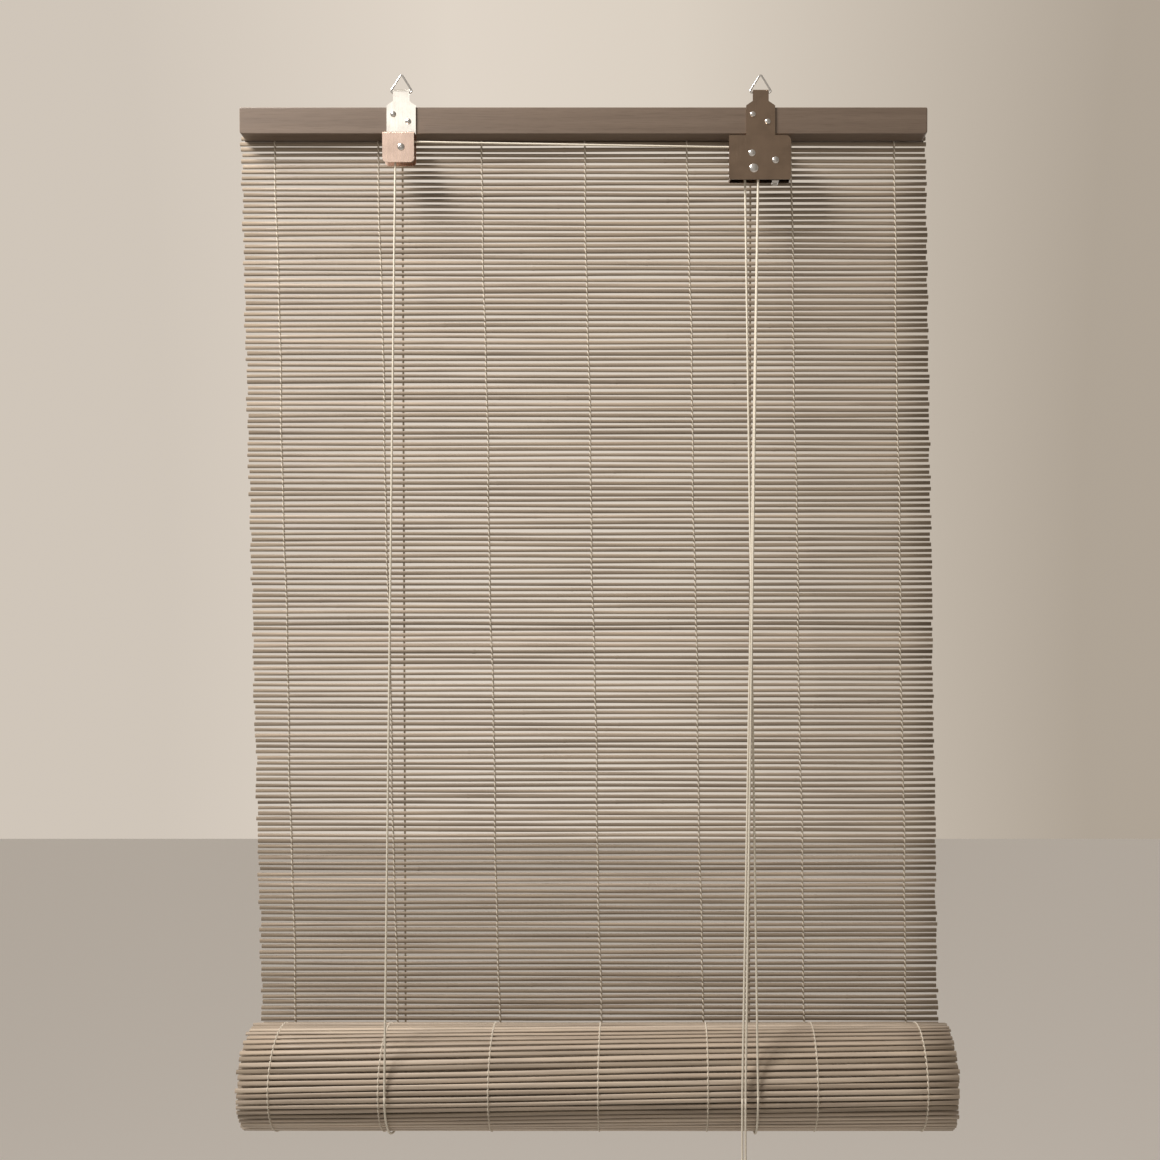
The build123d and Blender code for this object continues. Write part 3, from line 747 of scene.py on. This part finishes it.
def tie_route():
    """The middle line of the tie: turns of a squared oval, side by side from left to right."""
    low, high = np.array(TIE_LOW), np.array(TIE_HIGH)
    reach = (high - low) / 2 - TIE_YARN
    angles = np.linspace(0, 2 * math.pi * TIE_TURNS, TIE_TURNS * TIE_POINTS_A_TURN + 1)
    sideways = angles / angles[-1] * 2 - 1
    turns = np.stack([sideways, squared_off(np.cos(angles), 0.5), squared_off(np.sin(angles), 0.5)], axis=1)
    return (low + high) / 2 + reach * turns


tie_line = tie_route()
tie_rings = tube_rings(tie_line, TIE_YARN, TIE_SIDES)
tie = make_object("coil_tie_wrap", tie_rings, loft_faces(len(tie_line), TIE_SIDES), TIE)
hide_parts("coil_tie")
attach(tie, "pull_cord_end")

# ---------------------------------------------------------------- rivets, axles and pins
RIVET_SIDES = 28
DOME_STEPS = 9
DOME_EDGE = 0.12  # the share of a head's height that its upright edge takes
DOME_TIP = 0.03  # the share of a head's radius that its flat tip takes
BACK_HEAD_HEIGHT = 1.0 * MM
STRAP_RIVET_SHANK = 1.2 * MM
STRAP_RIVET_HEAD = (2.6 * MM, 1.5 * MM)  # radius and height
STRAP_RIVET_OFFSETS = ((-6.8 * MM, 8.4 * MM), (6.2 * MM, 2.1 * MM))
AXLE_HEAD_HEIGHT = 1.5 * MM
AXLE_BACK_HEAD = 2.6 * MM
AXLE_SHANKS = {
    "pulley_axle_left": 1.5 * MM,
    "pulley_axle_right": 1.5 * MM,
    "guide_pin": 2.9 * MM,
    "cam_axle": 1.5 * MM,
}


def dome(face, radius, height):
    """The profile of a domed head on a face that looks towards -Y: (y, radius) from the face outwards."""
    profile = [(face, radius * 0.96)]
    for angle in np.linspace(0, math.pi / 2, DOME_STEPS):
        rise = height * (DOME_EDGE + (1 - DOME_EDGE) * math.sin(angle))
        profile.append((face - rise, radius * max(math.cos(angle), DOME_TIP)))
    return profile


def riveted(name, node, places, shank, head, back_head):
    """Rivets along Y, each with a shank, a flat head behind and a dome in front."""
    low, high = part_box(node)
    face = low.y + head[1]
    profile = [
        (high.y, back_head * 0.9),
        (high.y - 0.2 * MM, back_head),
        (high.y - 0.9 * MM, back_head),
        (high.y - BACK_HEAD_HEIGHT, shank),
        (face + 0.01 * MM, shank),
    ] + dome(face, *head)
    vertices, faces = [], []
    for x, z in places:
        faces += loft_faces(len(profile), RIVET_SIDES, first=len(vertices))
        for y, radius in profile:
            for angle in np.arange(RIVET_SIDES) * 2 * math.pi / RIVET_SIDES:
                vertices.append((x + radius * math.cos(angle), y, z + radius * math.sin(angle)))
    piece = make_object(name, vertices, faces, STEEL)
    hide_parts(node)
    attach(piece, "headrail")


strap_rivet_places = []
for side in ("left", "right"):
    low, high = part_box(f"hanger_strap_{side}")
    strap_middle = (low.x + high.x) / 2
    strap_rivet_places += [(strap_middle + dx, z) for dx, z in STRAP_RIVET_OFFSETS]
riveted(
    "strap_rivet_domes",
    "strap_rivets",
    strap_rivet_places,
    STRAP_RIVET_SHANK,
    STRAP_RIVET_HEAD,
    back_head=STRAP_RIVET_SHANK,
)
for node_name, shank in AXLE_SHANKS.items():
    low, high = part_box(node_name)
    middle = ((low.x + high.x) / 2, (low.z + high.z) / 2)
    head = ((high.x - low.x) / 2, AXLE_HEAD_HEIGHT)
    riveted(f"{node_name}_turned", node_name, [middle], shank, head, AXLE_BACK_HEAD)

# ---------------------------------------------------------------- floor, surroundings, lights and camera
FLOOR_Z = -2.6
FLOOR_REACH = 9.0


def pale_floor():
    """A matt floor far below the blind."""
    material, _, shader = new_material("pale_floor")
    shader.inputs["Base Color"].default_value = (0.90, 0.89, 0.88, 1.0)
    shader.inputs["Roughness"].default_value = 0.8
    corners = [(x * FLOOR_REACH, y * FLOOR_REACH, FLOOR_Z) for x, y in ((-1, -1), (1, -1), (1, 1), (-1, 1))]
    floor = make_object("floor", corners, [(0, 1, 2, 3)], material, smooth=False)


def soft_studio():
    """Surroundings that are brighter behind the blind than in front, and dimmer towards the right."""
    world = bpy.data.worlds.new("soft_studio")
    bpy.context.scene.world = world
    world.use_nodes = True
    tree = world.node_tree
    direction = tree.nodes.new("ShaderNodeTexCoord")
    ways = tree.nodes.new("ShaderNodeSeparateXYZ")
    tree.links.new(direction.outputs["Generated"], ways.inputs["Vector"])

    def share_along(axis):
        """How far a direction points along an axis, from 0 at one side to 1 at the other."""
        share = tree.nodes.new("ShaderNodeMapRange")
        share.inputs["From Min"].default_value = -0.5
        share.inputs["From Max"].default_value = 0.5
        tree.links.new(ways.outputs[axis], share.inputs["Value"])
        return share.outputs["Result"]

    front_to_back = ramp(tree, share_along("Y"), [(0.0, (0.47, 0.43, 0.39)), (1.0, (0.75, 0.67, 0.58))])
    left_to_right = ramp(
        tree,
        share_along("X"),
        [
            (0.15, (0.84, 0.84, 0.84)),
            (0.36, (1.0, 1.0, 1.0)),
            (0.52, (0.94, 0.94, 0.93)),
            (0.82, (0.57, 0.55, 0.52)),
        ],
    )
    background = tree.nodes["Background"]
    background.inputs["Strength"].default_value = 1.0
    tree.links.new(product(tree, front_to_back, left_to_right), background.inputs["Color"])


def area_light(name, place, target, size, power, colour=(1.0, 1.0, 1.0)):
    """A square light at a place that shines at a target."""
    light = bpy.data.lights.new(name, "AREA")
    light.size = size
    light.energy = power
    light.color = colour
    obj = bpy.data.objects.new(name, light)
    obj.location = place
    obj.rotation_mode = "QUATERNION"
    obj.rotation_quaternion = (Vector(target) - Vector(place)).to_track_quat("-Z", "Y")
    bpy.context.scene.collection.objects.link(obj)


pale_floor()
soft_studio()
area_light("key", (-0.80, -0.55, 0.85), (0.0, 0.0, -0.50), size=0.5, power=36.0, colour=(1.0, 0.95, 0.91))
area_light(
    "left_panel", (-0.62, -1.90, 0.62), (-0.16, 0.0, 0.0), size=0.45, power=0.7, colour=(1.0, 0.97, 0.94)
)
area_light("back", (0.4, 1.9, 0.4), (0.0, 0.0, -0.4), size=1.8, power=10.0)

CAMERA_PLACE = (0.0556, -1.149, -0.381)
CAMERA_PITCH = math.radians(1.1)  # downwards
SENSOR_WIDTH = 36.0  # mm
LENS = 39.7241  # mm
SHIFT_X = -0.0577586  # of the frame's width, as SHIFT_Y is
SHIFT_Y = 0.0039655
camera_data = bpy.data.cameras.new("camera")
camera_data.sensor_width = SENSOR_WIDTH
camera_data.lens = LENS
camera_data.shift_x = SHIFT_X
camera_data.shift_y = SHIFT_Y
camera_data.clip_start = 0.01
camera = bpy.data.objects.new("camera", camera_data)
camera.location = CAMERA_PLACE
camera.rotation_euler = (math.pi / 2 - CAMERA_PITCH, 0.0, 0.0)
bpy.context.scene.collection.objects.link(camera)
bpy.context.scene.camera = camera
bpy.context.scene.view_settings.view_transform = "Standard"
